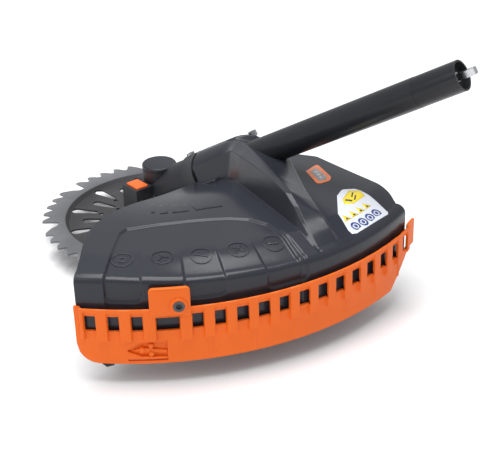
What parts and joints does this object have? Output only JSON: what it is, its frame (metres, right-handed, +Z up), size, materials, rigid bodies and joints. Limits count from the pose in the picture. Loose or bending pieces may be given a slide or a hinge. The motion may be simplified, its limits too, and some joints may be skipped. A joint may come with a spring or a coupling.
{
  "type": "brush cutter cutting head",
  "caption": "Brush cutter cutting head: bevel gear head on a straight shaft tube, dished saw blade, clamped guard with an orange hooked-on skirt.",
  "frame": {"origin": "free end of the spindle's threaded stud, on the spindle's axis", "axes": "+Z up along the spindle's axis, +X the level direction in which the tube leaves the head, +Y completes a right-handed frame"},
  "size_m": [0.4115, 0.3501, 0.2177],
  "materials": {
    "tube_black": "satin black powder coat",
    "casting_grey": "satin dark grey paint on a die casting",
    "cap_grey": "satin dark grey paint",
    "guard_grey": "glossy dark grey injection moulding",
    "skirt_orange": "satin orange injection moulding",
    "button_orange": "satin orange moulding",
    "blade_steel": "dark hardened steel with a lighter ground rim",
    "bright_steel": "turned and ground steel",
    "zinc_steel": "zinc-plated steel",
    "bearing_steel": "ground bearing steel",
    "gear_steel": "hardened gear steel, lightly oiled",
    "spring_steel": "drawn spring wire",
    "seal_rubber": "matt black rubber",
    "bush_plastic": "matt black moulding",
    "knife_steel": "blackened steel",
    "label_white": "laminated white label with plain coloured shapes",
    "tag_orange": "laminated orange tag"
  },
  "bodies": {
    "head": {"shaft_tube": "tube_black", "shaft_bushes": "bush_plastic", "gear_housing": "casting_grey", "housing_cap": "cap_grey", "cap_screws": "zinc_steel", "neck_locating_screw": "zinc_steel", "neck_clamp_screw": "zinc_steel", "grease_screw": "zinc_steel", "lower_bearing_outer": "bearing_steel", "lower_bearing_balls": "bearing_steel", "upper_bearing_outer": "bearing_steel", "upper_bearing_balls": "bearing_steel", "lower_retaining_ring": "spring_steel", "spindle_seal": "seal_rubber", "pinion_bearing_outers": "bearing_steel", "pinion_bearing_balls": "bearing_steel", "pinion_retaining_ring": "spring_steel", "guard_shell": "guard_grey", "guard_clamp": "zinc_steel", "guard_clamp_screws": "zinc_steel", "guard_side_bolt": "zinc_steel", "guard_skirt": "skirt_orange", "skirt_screw": "knife_steel", "line_knife": "knife_steel", "knife_screws": "zinc_steel", "guard_label": "label_white", "guard_tag": "tag_orange", "tube_end_cap": "seal_rubber"},
    "spindle": {"output_spindle": "bright_steel", "crown_gear": "gear_steel", "lower_bearing_inner": "bearing_steel", "upper_bearing_inner": "bearing_steel", "lock_plate": "zinc_steel", "saw_blade": "blade_steel", "clamp_washer": "zinc_steel", "rider_cup": "zinc_steel", "collar_nut": "zinc_steel"},
    "drive": {"drive_shaft": "bright_steel", "bevel_pinion": "gear_steel", "pinion_bearing_inners": "bearing_steel"},
    "lock": {"lock_button": "button_orange", "lock_pin": "bright_steel", "lock_spring": "spring_steel"}
  },
  "joints": [
    {"name": "spindle_spin", "type": "hinge", "parent": "head", "child": "spindle", "pos_m": [0, 0, 0], "axis": [0, 0, 1], "continuous": true},
    {"name": "drive_spin", "type": "hinge", "parent": "head", "child": "drive", "pos_m": [0, 0, 0.0434], "axis": [0.8724, 0, 0.4888], "continuous": true},
    {"name": "lock_press", "type": "slide", "parent": "head", "child": "lock", "axis": [0, 0, -1], "range_m": [0, 0.005], "stiffness_N_per_m": 900, "springref_m": -0.004, "deforming": ["lock_spring"]}
  ],
  "couplings": [
    {"joint": "drive_spin", "follows": "spindle_spin", "ratio": 2}
  ]
}
